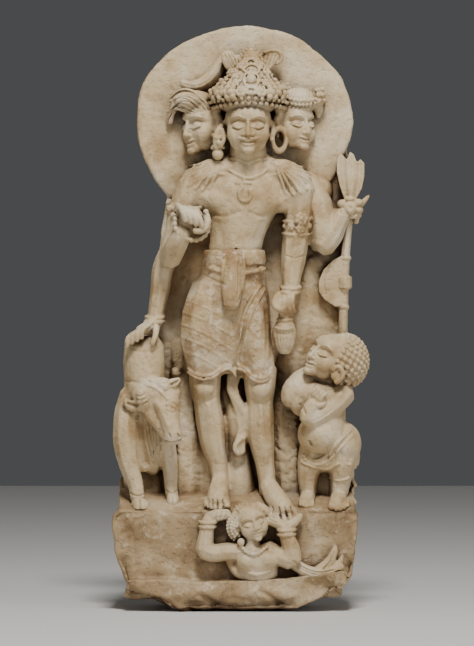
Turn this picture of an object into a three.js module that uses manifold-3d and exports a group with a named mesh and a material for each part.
// A stone stele about 58 cm tall: Shiva with three heads and four arms stands before a round halo,
// between a humped bull and an attendant, on the hands of the earth goddess. All of it is one block.
// Millimetres, +Z up, the front faces -Y. The origin is the middle of the flat under the base.

import * as THREE from "three";
import { mergeVertices } from "three/addons/utils/BufferGeometryUtils.js";
import Module from "manifold-3d";

// Driving sizes of the block.
const BASE_HEIGHT = 95;
const BASE_HALF_WIDTH = 126;
const BACK_Y = 48; // the back plane
const BASE_FRONT_Y = -46; // the upright face of the base that the goddess stands out from
const LEDGE_PROUD = 11; // how far the bottom ledge stands out from that face
const LEDGE_TOP = 41;
const LEDGE_EDGE = 28;
const TOP_FALL = 7; // how much lower the base's front edge is than its height
const GROUND_RISE = 30; // how far the rocky ground climbs above the base's height, up to the slab
const SLAB_THICKNESS = 28;
const SLAB_HALF_WIDTH = 110;
const HALO_HALF_WIDTH = 109;
const HALO_RISE = 94; // from the halo's middle up to its worn top
const HALO_DROP = 106; // from its middle down to its lower edge
const HALO_THICKNESS = 34;
const HALO_BEVEL = 3;
const HALO_STEPS = 30;
const FIGURES_Y = 28; // the plane inside the slab that the figures' depths are measured out from

// Driving sizes of the four figures. Their poses below are drawn at these first heights.
const SHIVA_HEIGHT = 466;
const BULL_HEIGHT = 180;
const ATTENDANT_HEIGHT = 178;
const GODDESS_HEIGHT = 72;
const DRAWN = { shiva: 466, bull: 180, attendant: 178, goddess: 72 };
// Each figure is grown about the foot of its own axis.
const AXIS_X = { shiva: 0, bull: -96, attendant: 90, goddess: 14 };

const BACK_OUT = FIGURES_Y - BACK_Y;
const LEDGE_Y = BASE_FRONT_Y - LEDGE_PROUD;
const STONE = { color: 0xc9b699, roughness: 0.62, metalness: 0 };
const SHORTEST_EDGE = 0.5; // a join leaves no facet finer than this
const UP = [0, 0, 1];
const SIDEWAYS = [1, 0, 0];

const wasm = await Module();
wasm.setup();

// A closed geometry as a manifold-3d solid.
function solid(geometry) {
  const bare = geometry.clone();
  bare.deleteAttribute("normal");
  bare.deleteAttribute("uv");
  const merged = mergeVertices(bare, 1e-4);
  return new wasm.Manifold(
    new wasm.Mesh({
      numProp: 3,
      vertProperties: merged.attributes.position.array,
      triVerts: new Uint32Array(merged.index.array),
      tolerance: SHORTEST_EDGE,
    }),
  );
}

const union = (geometries) => wasm.Manifold.union(geometries.map(solid));

// A point of the relief: x to the right, out from the figures' plane to the viewer, z above the base's top.
const point = ([x, out, z]) => new THREE.Vector3(x, -out, z);

// An ellipsoid with radii along x, out and z, turned in the picture plane, anticlockwise, by turn degrees.
function ball(centre, radii, { turn = 0, sides = 8, rows = 5 } = {}) {
  return placed(new THREE.SphereGeometry(1, sides, rows).rotateX(Math.PI / 2), centre, radii, turn);
}

// A small ellipsoid of twenty facets, placed as a ball is.
function knob(centre, radii, { turn = 0 } = {}) {
  return placed(new THREE.IcosahedronGeometry(1), centre, radii, turn);
}

// A small pointed lozenge, placed as a ball is.
function lozenge(centre, radii, { turn = 0 } = {}) {
  return placed(new THREE.OctahedronGeometry(1), centre, radii, turn);
}

function placed(geometry, centre, [wide, deep, high], turn) {
  const c = point(centre);
  return geometry
    .scale(wide, deep, high)
    .rotateY(-THREE.MathUtils.degToRad(turn))
    .translate(c.x, c.y, c.z);
}

// A closed form through stations [x, out, z, half width, half depth]. Its sections stand square to the line
// through the stations, with the depth towards facing. Each end closes in a point that reaches out by the
// share blunt of the end's smaller half. With a groove, every second corner is drawn in by that share,
// which leaves ridges along the form: locks of hair, fingers, petals or pleats.
function loft(stations, { sides = 6, facing = [0, -1, 0], blunt = 0.45, groove = 0 } = {}) {
  const facingAxis = new THREE.Vector3(...facing);
  const middles = stations.map(point);
  const corners = [];
  const tips = [];
  middles.forEach((middle, i) => {
    const [, , , wide, deep = wide] = stations[i];
    const before = middles[Math.max(i - 1, 0)];
    const after = middles[Math.min(i + 1, middles.length - 1)];
    const along = after.clone().sub(before).normalize();
    const across = new THREE.Vector3().crossVectors(along, facingAxis).normalize();
    const forward = new THREE.Vector3().crossVectors(across, along).normalize();
    for (let j = 0; j < sides; j++) {
      const angle = (2 * Math.PI * (j + 0.5)) / sides;
      const drawnIn = j % 2 ? 1 - groove : 1;
      corners.push(
        middle
          .clone()
          .addScaledVector(across, wide * drawnIn * Math.cos(angle))
          .addScaledVector(forward, deep * drawnIn * Math.sin(angle)),
      );
    }
    const direction = i === 0 ? -1 : 1;
    tips.push(middle.clone().addScaledVector(along, Math.min(wide, deep) * blunt * direction));
  });
  const faces = [];
  for (let i = 0; i + 1 < middles.length; i++) {
    for (let j = 0; j < sides; j++) {
      const k = (j + 1) % sides;
      const [a, b, c, d] = [i * sides + j, i * sides + k, (i + 1) * sides + k, (i + 1) * sides + j];
      faces.push(a, d, c, a, c, b);
    }
  }
  const first = corners.push(tips[0]) - 1;
  const last = corners.push(tips[tips.length - 1]) - 1;
  const lastRing = (middles.length - 1) * sides;
  for (let j = 0; j < sides; j++) {
    const k = (j + 1) % sides;
    faces.push(first, j, k, last, lastRing + k, lastRing + j);
  }
  const geometry = new THREE.BufferGeometry().setFromPoints(corners);
  geometry.setIndex(faces);
  return geometry;
}

// A string of beads along a curve through points: one thin form that swells at each bead.
function string(points, count, radius) {
  const curve = new THREE.CatmullRomCurve3(points.map(([x, out, z]) => new THREE.Vector3(x, out, z)));
  const stations = curve
    .getSpacedPoints(2 * count)
    .map((p, i) => [p.x, p.y, p.z, i % 2 ? radius : radius * 0.5]);
  return loft(stations, { sides: 4 });
}

// A plate with the outline [x, z], from the distance out of its back to that of its bevelled front.
function plate(outline, back, front, bevel = 1) {
  const shape = new THREE.Shape(outline.map(([x, z]) => new THREE.Vector2(x, z)));
  return new THREE.ExtrudeGeometry(shape, {
    depth: front - back - 2 * bevel,
    bevelSize: bevel,
    bevelThickness: bevel,
    bevelOffset: -bevel,
    bevelSegments: 1,
  })
    .translate(0, 0, back + bevel)
    .rotateX(Math.PI / 2);
}

// The halo: a worn disc, flatter above than below, whose edge wavers a little.
function halo() {
  const middle = { x: 5, z: 0.847 * SHIVA_HEIGHT };
  const outline = [];
  for (let i = 0; i < HALO_STEPS; i++) {
    const angle = (2 * Math.PI * i) / HALO_STEPS;
    const waver = 1 + 0.008 * Math.sin(5 * angle + 1) + 0.006 * Math.sin(11 * angle + 2.4);
    const reach = Math.sin(angle) > 0 ? HALO_RISE : HALO_DROP;
    outline.push([
      middle.x + HALO_HALF_WIDTH * waver * Math.cos(angle),
      middle.z + reach * waver * Math.sin(angle),
    ]);
  }
  return plate(outline, BACK_OUT, BACK_OUT + HALO_THICKNESS, HALO_BEVEL);
}

// The slab that backs the figures, from the base up into the halo, as shares of its half width and of
// Shiva's height.
function slab() {
  const outline = [
    [-1.06, -0.04], [0.99, -0.04], [1.0, 0.1], [0.98, 0.25], [0.95, 0.36], [0.97, 0.56],
    [1.03, 0.66], [1.1, 0.7], [1.13, 0.75], [1.04, 0.8], [0.6, 0.85], [-0.5, 0.8],
    [-0.66, 0.68], [-0.7, 0.62], [-0.76, 0.5], [-0.8, 0.39], [-0.97, 0.37], [-1.06, 0.24],
  ];
  return plate(
    outline.map(([x, z]) => [x * SLAB_HALF_WIDTH, z * SHIVA_HEIGHT]),
    BACK_OUT,
    BACK_OUT + SLAB_THICKNESS,
    2,
  );
}

// The base: its front outline and its side profile, each cut square through the block. The ground on it
// climbs to the slab, and the lower front edge is broken away.
function base() {
  const outline = [
    [-1.0, 84], [-0.99, 66], [-0.955, 48], [-0.91, 34], [-0.88, 19], [-0.77, 9], [-0.56, 0],
    [0.46, 0], [0.62, 9], [0.69, 18], [0.8, 22], [0.88, 36], [0.91, 58], [0.935, 84],
    [0.93, BASE_HEIGHT + GROUND_RISE], [-0.93, BASE_HEIGHT + GROUND_RISE], [-0.97, BASE_HEIGHT],
  ];
  const front = solid(
    plate(
      outline.map(([share, z]) => [share * BASE_HALF_WIDTH, z]),
      -BACK_Y,
      -LEDGE_Y,
    ),
  );
  const profile = new THREE.Shape(
    [
      [-BACK_Y, 0], [-BACK_Y, BASE_HEIGHT + GROUND_RISE],
      [-BACK_Y + SLAB_THICKNESS, BASE_HEIGHT + GROUND_RISE],
      [-BASE_FRONT_Y - 5, BASE_HEIGHT - TOP_FALL + 2], [-BASE_FRONT_Y, BASE_HEIGHT - TOP_FALL - 2],
      [-BASE_FRONT_Y, LEDGE_TOP], [-LEDGE_Y - 1, LEDGE_EDGE + 2], [-LEDGE_Y, LEDGE_EDGE - 3],
      [-LEDGE_Y - 2, 9], [-LEDGE_Y - 10, 0],
    ].map(([out, z]) => new THREE.Vector2(out, z)),
  );
  const side = solid(
    new THREE.ExtrudeGeometry(profile, { depth: 2.4 * BASE_HALF_WIDTH, bevelEnabled: false })
      .translate(0, 0, -1.2 * BASE_HALF_WIDTH)
      .rotateX(Math.PI / 2)
      .rotateZ(-Math.PI / 2),
  );
  const bites = [
    ball([-0.72 * BASE_HALF_WIDTH, 14 - LEDGE_Y, -6], [44, 24, 22], { turn: -22 }),
    ball([0.72 * BASE_HALF_WIDTH, 10 - LEDGE_Y, 2], [32, 20, 22], { turn: 24 }),
  ];
  return front.intersect(side).subtract(union(bites));
}

// A head in its own frame, one half height tall and deep: skull and jaw, nose, eyes and lips. It looks
// along facing degrees, anticlockwise in plan from the viewer, and tilts in the picture plane.
function head(centre, size, facingDegrees, tiltDegrees) {
  const parts = [
    loft(
      [
        [0, 0.42, -0.96, 0.26, 0.26], [0, 0.26, -0.62, 0.56, 0.56], [0, 0.06, -0.12, 0.78, 0.8],
        [0, -0.02, 0.4, 0.8, 0.84], [0, -0.06, 0.84, 0.48, 0.52],
      ],
      { sides: 7 },
    ),
    loft([[0, 0.78, 0.14, 0.07, 0.08], [0, 0.9, -0.28, 0.16, 0.13]], { sides: 4 }),
    lozenge([0, 0.68, -0.52], [0.3, 0.24, 0.12]),
  ];
  for (const side of [-1, 1]) {
    parts.push(lozenge([0.31 * side, 0.68, 0.02], [0.24, 0.18, 0.13], { turn: 6 * side }));
  }
  const c = point(centre);
  return parts.map((part) =>
    part
      .scale(size, size, size)
      .rotateZ(THREE.MathUtils.degToRad(facingDegrees))
      .rotateY(-THREE.MathUtils.degToRad(tiltDegrees))
      .translate(c.x, c.y, c.z),
  );
}

// Shiva's trunk, from the wrapped cloth's hem up to the neck.
function trunk() {
  return [
    loft(
      [
        [-4, 26, 250, 28, 26], [-3.5, 26, 268, 27, 25], [1, 26, 290, 32, 27],
        [5, 26, 316, 41, 29], [7, 24, 332, 46, 26], [9, 24, 346, 22, 18],
      ],
      { sides: 9 },
    ),
    loft([[0, 32, 340, 12, 13], [-34, 30, 332, 15, 17], [-52, 30, 318, 15, 17]], { sides: 6 }),
    loft([[17, 32, 340, 12, 13], [50, 30, 332, 15, 17], [62, 28, 318, 15, 17]], { sides: 6 }),
    ball([-17, 42, 309], [20, 14, 12], { sides: 7, rows: 4 }),
    ball([25, 42, 310], [19, 14, 12], { sides: 7, rows: 4 }),
    loft([[9, 32, 338, 20, 17], [9, 40, 366, 18, 16]], { sides: 7 }),
    // the belt and the wrapped cloth, with pleats, and the thighs under it
    loft(
      [
        [-4, 27, 258, 30.5, 28], [-5, 27, 245, 34, 29], [-6, 26, 243, 32, 27], [-10, 26, 226, 37, 29],
        [-14, 23, 195, 47, 30], [-11, 16, 146, 43, 22],
      ],
      { sides: 10, groove: 0.04, blunt: 0.1 },
    ),
    loft(
      [
        [-30, 34, 232, 19, 21], [-35, 34, 196, 24, 25], [-35, 33, 160, 23, 24],
        [-33, 32, 138, 19, 20],
      ],
      { sides: 7 },
    ),
    loft(
      [
        [6, 34, 230, 17, 20], [13, 35, 192, 19, 24], [18, 34, 158, 17, 22],
        [21, 33, 138, 16, 19],
      ],
      { sides: 7 },
    ),
    loft([[5, 55, 212, 2.5, 4], [-2, 58, 180, 3.5, 5], [-5, 50, 141, 4.5, 6]], { sides: 5 }),
    // the loop of cloth that hangs from the belt, and its two knots
    loft([[-1, 52, 258, 7, 5], [-5, 57, 232, 8.5, 7], [-8, 60, 206, 8, 8]], { sides: 6 }),
    knob([-24, 52, 241], [10, 5, 4], { turn: -14 }),
    knob([19, 48, 240], [7, 7, 5], { turn: 20 }),
  ];
}

function legs() {
  return [
    loft([
      [-34, 28, 142, 15, 20], [-34, 29, 124, 14.5, 21.5], [-30, 25, 100, 12.5, 19],
      [-26, 23, 72, 12.5, 19], [-20, 23, 36, 8, 17], [-19, 24, 4, 8, 17],
    ]),
    loft([
      [21, 29, 140, 15, 20], [20, 30, 123, 14.5, 21], [21, 26, 103, 12.5, 19], [22, 25, 74, 13, 20],
      [28, 25, 32, 9.5, 19], [30, 26, 4, 9, 19],
    ]),
    // The far foot turns outwards and reaches past the base's edge.
    loft([[-19, 24, 8, 8, 9], [-20, 44, 11, 9.5, 9], [-21, 62, 5, 11.5, 5]], { sides: 6, facing: UP }),
    loft([[29, 28, 8, 8, 10], [35, 48, 8, 11, 10], [43, 70, -4, 13.5, 6]], { sides: 6, facing: UP }),
    loft([[-20.5, 60, 5, 12, 5], [-21, 71, 4, 11, 3.5]], { sides: 8, groove: 0.25, facing: UP }),
    loft([[42, 68, -3, 14, 6], [46, 79, -6, 14, 4.5]], { sides: 8, groove: 0.25, facing: UP }),
    // the ribbon of cloth and the web of stone between the legs
    loft(
      [
        [-5, 18, 142, 5, 14], [-8, 16, 116, 5, 13], [2, 14, 98, 6, 12], [4, 12, 76, 9, 10],
      ],
      { sides: 6 },
    ),
  ];
}

// Shiva's right arms: one bent up to the breast with a rosary, one down to the bull's hump.
function rightArms() {
  return [
    loft(
      [
        [-50, 30, 330, 16, 17], [-56, 32, 303, 14, 15], [-56.5, 32, 302, 16, 17], [-58, 33, 295, 16, 17],
        [-58.5, 33, 294, 14.5, 15], [-62, 35, 273, 14, 14], [-68, 38, 254, 11, 12],
      ],
      { sides: 7 },
    ),
    loft([[-69, 42, 256, 10, 11], [-62, 58, 272, 10.5, 11], [-55, 68, 288, 8, 9]], { facing: SIDEWAYS }),
    knob([-51, 72, 298], [12, 9, 12], { turn: -20 }),
    loft(
      [
        [-49, 79, 303, 11, 4], [-46, 83, 293, 11, 4.5], [-46, 78, 283, 9, 4.5],
      ],
      { sides: 8, groove: 0.3 },
    ),
    string([[-64, 70, 284], [-57, 74, 277], [-46, 74, 274], [-37, 70, 280]], 5, 3.6),
    knob([-36, 68, 287], [6.5, 9, 12]),
    loft([
      [-62, 14, 304, 12, 14], [-77, 16, 247, 8.5, 14], [-79, 17, 223, 9, 15], [-83.3, 19, 198, 8, 14],
      [-83.5, 20, 197, 9.5, 15.5], [-84.5, 20, 191, 9.5, 15.5], [-84.7, 20, 190, 8, 14],
    ]),
    loft([[-82, 30, 190, 8, 6], [-95, 38, 185, 9.5, 5.5], [-106, 44, 181, 9, 5]], { facing: UP }),
    loft(
      [
        [-104, 46, 182, 9.5, 4], [-109, 50, 176, 9.5, 4], [-111, 49, 169, 8, 3],
      ],
      { sides: 8, groove: 0.3, facing: UP },
    ),
    loft([[-88, 42, 184, 3.6, 4], [-88, 50, 170, 3, 3]], { sides: 5 }),
  ];
}

// Shiva's left arms: one hangs with a small pot, one is bent behind it to the trident.
function leftArms() {
  return [
    loft([
      [60, 25, 328, 16, 20], [59, 25, 308, 13.5, 19.5], [58, 26, 295, 13, 19], [58, 26, 294, 15, 21],
      [57, 26, 285, 15, 21], [57, 26, 284, 12.8, 18.5], [54.5, 29, 253, 12, 16.5], [51.7, 38, 226, 8.6, 11],
      [51.5, 38.5, 225, 10.3, 12.5], [50.4, 40.5, 220, 10.3, 12.5], [50, 41, 219, 8.2, 10],
        [48, 44, 212, 8, 8],
    ], { sides: 7 }),
    knob([62, 45, 294], [8, 5, 8]),
    knob([46, 47, 208], [9.5, 9, 12]),
    loft([[45, 54, 212, 8.5, 4], [44, 56, 203, 8.5, 4], [45, 53, 197, 7, 4]], { sides: 8, groove: 0.3 }),
    loft(
      [
        [46, 44, 202, 6.5, 6.5], [45.5, 42, 190, 7, 7.5], [45, 41, 182, 12, 11.5],
        [45, 41, 171, 10.5, 10], [45, 42, 161, 5, 5],
      ],
    ),
    loft([[70, 12, 330, 14, 14], [80, 15, 296, 15, 17], [83, 17, 268, 13, 17]], { sides: 7 }),
    loft([[84, 18, 266, 12, 16], [95, 20, 288, 11, 15], [104, 24, 306, 9, 11]], { sides: 7 }),
  ];
}

// Shiva's three heads with their hair, ear ornaments, locks on the shoulders and pendant.
function heads() {
  const hole = point([40, 44, 372]);
  return [
    ...head([8.5, 44, 389], 31.5, 0, 0),
    ...head([-47, 22, 384], 26, -60, 4),
    ...head([63, 22, 387], 25, 48, 0),
    // wild hair swept back, and curled hair with a topknot
    loft(
      [
        [-72, 24, 410, 6, 10], [-58, 30, 415, 10, 17], [-40, 32, 414, 11, 18],
        [-24, 28, 408, 7, 12],
      ],
      { sides: 8, groove: 0.16, facing: UP },
    ),
    loft(
      [
        [48, 26, 414, 9, 16], [62, 28, 417, 11, 20], [76, 24, 414, 9, 16],
      ],
      { sides: 8, groove: 0.14, facing: UP },
    ),
    knob([83, 20, 416], [8, 9, 13], { turn: 10 }),
    // locks on the shoulders
    loft(
      [
        [-10, 38, 352, 5, 7], [-26, 42, 345, 9, 8], [-42, 40, 338, 11, 8],
      ],
      { sides: 6, groove: 0.22, facing: UP },
    ),
    loft(
      [
        [34, 38, 350, 6, 8], [48, 42, 342, 11, 8], [66, 38, 332, 12, 7],
      ],
      { sides: 6, groove: 0.22, facing: UP },
    ),
    // a ring in one ear, a beast-shaped drop in the other
    new THREE.TorusGeometry(9.5, 3.2, 4, 8)
      .rotateX(Math.PI / 2)
      .scale(0.75, 1, 1.1)
      .rotateZ(0.4)
      .translate(hole.x, hole.y, hole.z),
    knob([34, 40, 385], [8, 8, 8]),
    loft(
      [
        [-22, 44, 386, 4, 4], [-21, 50, 374, 6.5, 7], [-23, 50, 363, 5, 5],
        [-21, 46, 354, 6, 6],
      ],
      { sides: 4 },
    ),
    // the pendant on the breast
    loft([[-2, 54, 330, 2.5, 3], [12, 54, 330, 2.5, 3]], { sides: 5, facing: UP }),
    knob([6, 54, 318], [6, 4, 7]),
    loft(
      [
        [-18, 45, 346, 2.6, 3], [-6, 50, 336, 2.6, 3], [9, 53, 332, 2.6, 3],
        [24, 50, 336, 2.6, 3], [36, 45, 346, 2.6, 3],
      ],
      { sides: 4 },
    ),
  ];
}

// The crown: a beaded band, a wide garland of flowers, a second tier and a peak, with ribbon loops beside
// it and a crescent behind.
function crown() {
  const petals = { sides: 12, groove: 0.1 };
  const forms = [
    loft([[8.5, 40, 404, 31, 31], [8.5, 40, 411, 38, 36]], { sides: 10, blunt: 0.1 }),
    loft(
      [
        [8.5, 37, 412, 37, 34], [8.5, 36, 418, 42, 37], [8.5, 34, 427, 41, 35],
        [8.5, 32, 433, 34, 28],
      ],
      petals,
    ),
    loft(
      [
        [10, 32, 430, 22, 24], [10.5, 33, 437, 28, 28], [11, 31, 446, 23, 24],
      ],
      { ...petals, sides: 10 },
    ),
    loft(
      [
        [11.5, 30, 444, 13, 16], [12, 30, 452, 16, 18], [12.5, 27, 463, 12, 13],
      ],
      { ...petals, sides: 8 },
    ),
    loft(
      [
        [-59, 6, 434, 2.5, 8], [-50, 8, 427, 5.5, 9], [-37, 9, 426, 7, 9], [-25, 8, 436, 7, 9],
        [-17, 6, 458, 3, 7],
      ],
      { sides: 6 },
    ),
  ];
  for (const side of [-1, 1]) {
    forms.push(loft(
      [
        [10 + 17 * side, 34, 438, 5, 6], [11 + 21 * side, 32, 452, 5, 6],
        [12 + 17 * side, 28, 461, 4, 5],
      ],
      { sides: 5 }),
    );
  }
  for (const side of [-1, 0, 1]) {
    forms.push(knob([9 + 24 * side, 70 - 10 * Math.abs(side), 421], [7.5, 6, 7.5]));
  }
  forms.push(knob([11, 60, 440], [6.5, 5, 8]), knob([12, 46, 456], [6, 5, 6]));
  return forms;
}

// The trident with the axe blade on its shaft, and the hand that holds it.
function trident() {
  const blade = [
    [102, 257], [93, 252], [85, 243], [80, 231], [80, 220], [86, 211],
    [95, 206], [100, 208], [98, 218], [103, 225], [103, 237],
  ];
  const forms = [
    loft(
      [
        [104, 10, 170, 5.5, 8], [106, 13, 240, 5, 9], [110, 16, 300, 5, 9],
        [112, 18, 328, 5.5, 8],
      ],
      { sides: 6 },
    ),
    loft(
      [
        [111, 18, 320, 6, 7], [112, 18, 334, 13, 8], [113, 17, 346, 12, 6],
        [112, 15, 359, 6, 4],
      ],
      { sides: 8, groove: 0.35 },
    ),
    loft(
      [
        [104, 28, 309, 4, 8], [112, 31, 308, 9, 11], [121, 27, 312, 8, 8],
        [128, 22, 317, 3, 4],
      ],
      { sides: 8, groove: 0.2, facing: UP },
    ),
    new THREE.CylinderGeometry(6, 6.5, 20, 8).translate(111, -25, 305),
    loft([[119, 18, 308, 4, 6], [117, 13, 292, 3.5, 6]], { sides: 5 }),
    plate(blade, -4, 20, 2),
    loft([[107, 13, 236, 7, 12], [107, 13, 226, 7, 12]], { sides: 6, blunt: 0.2 }),
  ];
  return forms;
}

// The bull, seen from the front with its head turned in.
function bull() {
  return [
    loft(
      [
        [-98, 20, 48, 18, 22], [-99, 26, 78, 25, 31], [-97, 26, 108, 23, 29],
        [-95, 26, 140, 20, 25], [-95, 26, 160, 22, 24], [-95, 24, 174, 14, 19],
      ],
      { sides: 7 },
    ),
    loft([[-84, 42, 54, 8, 11], [-83, 46, 72, 13, 18], [-84, 46, 98, 17, 20]], { sides: 6 }),
    // the head tapers to the muzzle, with the broken horns, the ears and the eyes
    loft(
      [
        [-86, 48, 134, 21, 11], [-83, 55, 117, 23, 15], [-76, 62, 98, 15, 14],
        [-69, 68, 82, 9.5, 10], [-65, 69, 75, 8.5, 7],
      ],
      { sides: 7 },
    ),
    loft([[-81, 54, 96, 8, 8], [-74, 62, 76, 5.5, 6]], { sides: 6 }),
    loft([[-99, 60, 121, 7, 8], [-99, 68, 110, 6.5, 7]], { sides: 6 }),
    loft([[-73, 62, 132, 7, 7], [-70, 70, 124, 6.5, 6.5]], { sides: 6 }),
    loft(
      [
        [-102, 52, 112, 4, 4], [-109, 50, 109, 6.5, 4], [-115, 48, 108, 2.5, 2],
      ],
      { sides: 5, facing: UP },
    ),
    loft([[-68, 52, 131, 4, 4], [-61, 50, 131, 5.5, 4]], { sides: 5, facing: UP }),
    knob([-66, 62, 107], [5.5, 6, 4], { turn: 40 }),
    knob([-98, 64, 99], [4.5, 5, 4]),
    // forelegs and hooves
    loft(
      [
        [-113, 36, 90, 12, 20], [-113, 38, 66, 11.5, 20], [-108, 42, 42, 9, 16],
        [-102, 46, 24, 7, 12], [-101, 48, 0, 7.5, 11],
      ],
      { sides: 6 },
    ),
    loft(
      [
        [-72, 26, 66, 11, 20], [-69, 28, 44, 8, 18], [-68, 30, 26, 6, 16], [-66, 30, 0, 7, 18],
      ],
      { sides: 6 },
    ),
    knob([-98.5, 56, 3], [10, 9, 9]),
    knob([-65, 46, 5], [7.5, 9, 10]),
  ];
}

// A cap of tight curls: a ball whose corners stand out and in by turns.
function curls(centre, radii, sides, rows) {
  const cap = new THREE.SphereGeometry(1, sides, rows);
  const places = cap.attributes.position;
  for (let row = 1; row < rows; row++) {
    for (let i = 0; i <= sides; i++) {
      const index = row * (sides + 1) + i;
      const reach = (row + i) % 2 ? 1.05 : 0.9;
      const corner = new THREE.Vector3().fromBufferAttribute(places, index).multiplyScalar(reach);
      places.setXYZ(index, corner.x, corner.y, corner.z);
    }
  }
  return placed(cap.rotateX(Math.PI / 2), centre, radii, 0);
}

// The attendant, who looks up with the hands at the breast.
function attendant() {
  return [
    ...head([88, 42, 155], 24, -50, -36),
    curls([105, 30, 151], [25, 29, 27], 10, 6),
    loft(
      [
        [84, 26, 134, 10, 16], [86, 27, 120, 22, 24], [83, 31, 100, 22, 30],
        [84, 34, 80, 25, 34], [88, 29, 62, 20, 27],
      ],
    ),
    loft(
      [
        [100, 22, 94, 18, 24], [100, 24, 74, 22, 28], [96, 22, 50, 24, 26],
      ],
      { sides: 10, groove: 0.08 },
    ),
    loft([[55, 20, 128, 9, 16], [50, 30, 112, 8.5, 16], [60, 50, 106, 7, 8]], { sides: 5 }),
    loft(
      [
        [104, 40, 122, 12, 13], [96, 52, 106, 10, 11], [78, 62, 96, 9, 9], [70, 63, 96, 8, 8],
      ],
      { sides: 7 },
    ),
    loft([[70, 62, 98, 8.5, 8], [65, 60, 117, 6.5, 6]], { facing: SIDEWAYS }),
    loft([[72, 22, 60, 12, 22], [69, 24, 38, 8.5, 18], [69, 24, 4, 7.5, 17]], { sides: 5 }),
    loft([[103, 26, 62, 17, 24], [101, 26, 38, 12, 22], [99, 26, 2, 8, 19]], { sides: 7 }),
    loft([[70, 26, 5, 7, 9], [66, 46, 3, 8, 7]], { sides: 6, facing: UP }),
    loft([[99, 32, 5, 7, 10], [99, 58, 2, 9, 7]], { sides: 6, facing: UP }),
    loft([[111, 10, 52, 8, 14], [108, 12, 8, 5, 12]], { sides: 5 }),
    knob([99, 52, 140], [6, 7, 9], { turn: 20 }),
  ];
}

// The earth goddess, from the waist up, whose hands carry the feet. She is drawn from the base's top down.
function goddess() {
  return [
    ...head([12, 79, -13], 16, 26, 14),
    loft([[-6, 74, -26, 6, 8], [-3, 75, -10, 10, 12], [8, 74, 3, 12, 13]], { sides: 8, groove: 0.15 }),
    loft(
      [
        [12, 76, -30, 9, 9], [14, 78, -38, 17, 11], [19, 79, -50, 19, 12],
        [20, 77, -64, 16, 10],
      ],
      { sides: 7 },
    ),
    knob([9, 87, -44], [9, 8, 8]),
    knob([29, 87, -41], [9, 8, 8]),
    loft(
      [
        [-2, 77, -36, 7, 7], [-22, 79, -37, 7, 7], [-33, 80, -35, 9, 7.5], [-32, 80, -22, 6.5, 6.5],
        [-31.5, 79, -14, 6, 6.5], [-31.5, 79, -13, 8, 8.5], [-31.5, 79, -9, 8, 8.5],
      ],
      { sides: 5 },
    ),
    loft(
      [
        [33, 77, -32, 8, 9], [44, 80, -42, 8, 8], [53, 84, -43, 9, 8.5], [50, 85, -29, 7.5, 7.5],
        [46.3, 83, -18, 6.5, 6.5], [46, 82.5, -17, 8.5, 8.5], [45, 82, -12, 8.5, 8.5],
      ],
      { sides: 5 },
    ),
    // palms
    loft([[-33, 77, -6, 6, 5], [-20, 74, 0, 9, 5]], { sides: 6, facing: UP }),
    loft([[45, 80, -11, 6, 6], [33, 78, -6, 6, 4]], { sides: 6, facing: UP }),
    loft([[46, 80, -11, 6, 6], [60, 76, -1, 4, 4]], { sides: 6, facing: UP }),
    // the scarf, under the arms and out to its pointed end
    loft([[-9, 74, -42, 3.5, 6], [-3, 78, -56, 4, 6], [8, 80, -64, 3, 5]], { sides: 5 }),
    loft([[42, 76, -50, 3.5, 6], [30, 80, -62, 3, 5]], { sides: 5 }),
    loft(
      [
        [58, 72, -28, 3, 6], [67, 75, -47, 5, 6], [80, 76, -55, 6, 6], [94, 75, -49, 6.5, 6],
        [96, 73, -31, 3, 4],
      ],
      { sides: 5 },
    ),
    string([[1, 84, -30], [12, 90, -35], [25, 84, -28]], 4, 2.8),
  ];
}

// A figure's forms as one solid, at its own height, grown about the foot of its own axis.
function figure(name, forms, height) {
  return union(forms)
    .translate([-AXIS_X[name], 0, 0])
    .scale(height / DRAWN[name])
    .translate([AXIS_X[name], FIGURES_Y, BASE_HEIGHT]);
}

const shiva = [
  ...trunk(), ...legs(), ...rightArms(), ...leftArms(), ...heads(), ...crown(), ...trident(),
];
const backing = union([halo(), slab()]).translate([0, FIGURES_Y, BASE_HEIGHT]);
const block = wasm.Manifold.union([
  base(),
  backing,
  figure("shiva", shiva, SHIVA_HEIGHT),
  figure("bull", bull(), BULL_HEIGHT),
  figure("attendant", attendant(), ATTENDANT_HEIGHT),
  figure("goddess", goddess(), GODDESS_HEIGHT),
]);

const carved = block.getMesh();
const geometry = new THREE.BufferGeometry()
  .setAttribute("position", new THREE.BufferAttribute(carved.vertProperties, 3))
  .setIndex(new THREE.BufferAttribute(carved.triVerts, 1));
geometry.computeVertexNormals();
const stele = new THREE.Mesh(geometry, new THREE.MeshStandardMaterial(STONE));
stele.name = "shiva_stele";

const group = new THREE.Group();
group.add(stele);

export default group;
